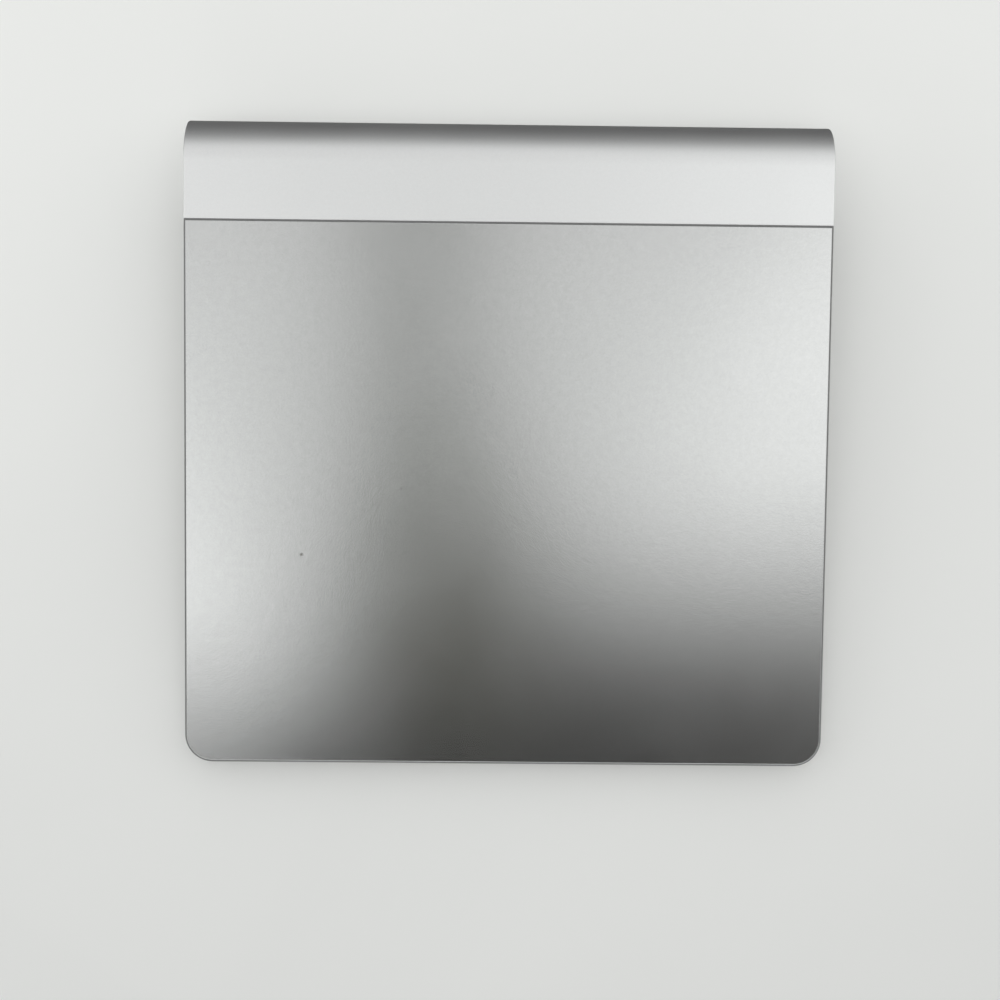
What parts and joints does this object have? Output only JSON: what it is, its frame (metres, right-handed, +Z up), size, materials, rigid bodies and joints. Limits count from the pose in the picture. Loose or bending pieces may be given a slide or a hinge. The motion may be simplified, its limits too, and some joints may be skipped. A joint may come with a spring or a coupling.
{
  "type": "trackpad",
  "caption": "Flat wireless desk trackpad: silver glass touch plate on a sloping aluminium body, round battery tube along the back, click feet, power button and coin-slot cap.",
  "frame": {"origin": "centre of the part's box on the desk that it stands on", "axes": "+X to the user's right, +Y to the back where the battery tube is, +Z up"},
  "size_m": [0.13, 0.1304, 0.0182],
  "materials": {
    "anodised_aluminium": "satin",
    "bare_aluminium": "satin",
    "touch_surface": "satin",
    "dark_adhesive": "matte",
    "clear_film": "gloss",
    "circuit_board": "satin",
    "chip_plastic": "matte",
    "socket_plastic": "satin",
    "spring_steel": "satin",
    "flex_circuit": "satin",
    "panel_plastic": "satin",
    "foot_rubber": "matte",
    "plunger_plastic": "satin",
    "carrier_plastic": "satin",
    "cell_sleeve": "gloss"
  },
  "bodies": {
    "root": {"enclosure": "anodised_aluminium", "touch_glass": "touch_surface", "glass_gasket": "dark_adhesive", "bond_film": "clear_film", "sensor_board": "circuit_board", "touch_controller": "chip_plastic", "radio_chip": "chip_plastic", "radio_shield": "spring_steel", "board_chips": "chip_plastic", "antenna": "spring_steel", "sensor_socket": "socket_plastic", "power_flex": "flex_circuit", "bottom_panel": "panel_plastic", "panel_tape": "dark_adhesive", "rear_foot_left": "foot_rubber", "rear_foot_right": "foot_rubber", "click_leaf_left": "spring_steel", "click_leaf_right": "spring_steel", "leaf_screws": "spring_steel", "click_switch_left": "socket_plastic", "click_switch_right": "socket_plastic", "switch_flex_left": "flex_circuit", "switch_flex_right": "flex_circuit", "battery_liner": "carrier_plastic", "battery_cell_left": "cell_sleeve", "battery_cell_right": "cell_sleeve", "thread_ring": "bare_aluminium", "end_carrier": "carrier_plastic", "positive_contact": "spring_steel", "power_board": "circuit_board", "power_socket": "socket_plastic", "power_switch": "socket_plastic", "button_guide": "carrier_plastic", "guide_screws": "spring_steel", "status_led": "clear_film", "light_guide": "clear_film"},
    "click_foot_left": {"front_foot_left": "foot_rubber", "foot_plunger_left": "plunger_plastic", "switch_button_left": "spring_steel"},
    "click_foot_right": {"front_foot_right": "foot_rubber", "foot_plunger_right": "plunger_plastic", "switch_button_right": "spring_steel"},
    "power_key": {"power_button": "anodised_aluminium", "button_clip": "spring_steel", "power_switch_button": "spring_steel"},
    "cap_swivel": {"cap_contact": "spring_steel"},
    "screw_cap": {"battery_cap": "anodised_aluminium"}
  },
  "joints": [
    {"name": "click_left", "type": "slide", "parent": "root", "child": "click_foot_left", "axis": [0, -0.1037, 0.9946], "range_m": [0, 0.0003], "stiffness_N_per_m": 2000, "springref_m": -0.0002, "deforming": ["click_leaf_left"]},
    {"name": "click_right", "type": "slide", "parent": "root", "child": "click_foot_right", "axis": [0, -0.1037, 0.9946], "range_m": [0, 0.0003], "stiffness_N_per_m": 2000, "springref_m": -0.0002, "deforming": ["click_leaf_right"]},
    {"name": "power_press", "type": "slide", "parent": "root", "child": "power_key", "axis": [-1, 0, 0], "range_m": [0, 0.0005], "stiffness_N_per_m": 2000},
    {"name": "cap_travel", "type": "slide", "parent": "root", "child": "cap_swivel", "axis": [-1, 0, 0], "range_m": [0, 0.0042]},
    {"name": "cap_turn", "type": "hinge", "parent": "cap_swivel", "child": "screw_cap", "pos_m": [-0.063, 0.0564, 0.0094], "axis": [-1, 0, 0], "range_deg": [0, 1009]}
  ],
  "couplings": [
    {"joint": "cap_turn", "follows": "cap_travel", "rad_per_m": 4188.8}
  ]
}
